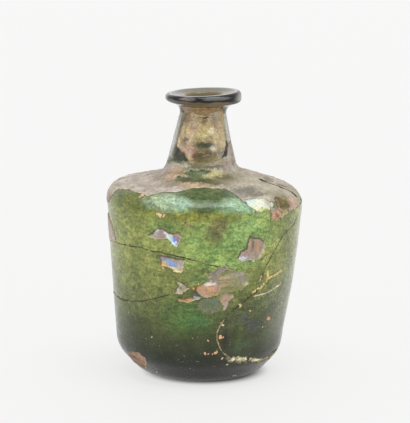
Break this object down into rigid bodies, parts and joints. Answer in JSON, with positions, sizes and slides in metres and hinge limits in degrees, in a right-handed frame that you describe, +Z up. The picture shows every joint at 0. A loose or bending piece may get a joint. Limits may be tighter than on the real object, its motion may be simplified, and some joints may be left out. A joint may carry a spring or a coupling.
{
  "type": "glass bottle",
  "caption": "Small squat blown glass bottle with a rounded shoulder, a tapering neck and a flat turned-out rim, hollow and open at the mouth, for oil or scent.",
  "frame": {"origin": "middle of the base in plan, at the middle of the bottle's overall box, on the surface that the bottle stands on", "axes": "+Z up through the neck; +X towards the side that the body leans to; -Y towards the side that the picture shows"},
  "size_m": [0.0808, 0.0808, 0.1183],
  "materials": {
    "green_glass": "olive-green blown glass, iridescent and weathered",
    "weathering_crust": "matte flaking weathering crust on the glass"
  },
  "bodies": {
    "root": {"glass_bottle": "green_glass"}
  },
  "joints": []
}
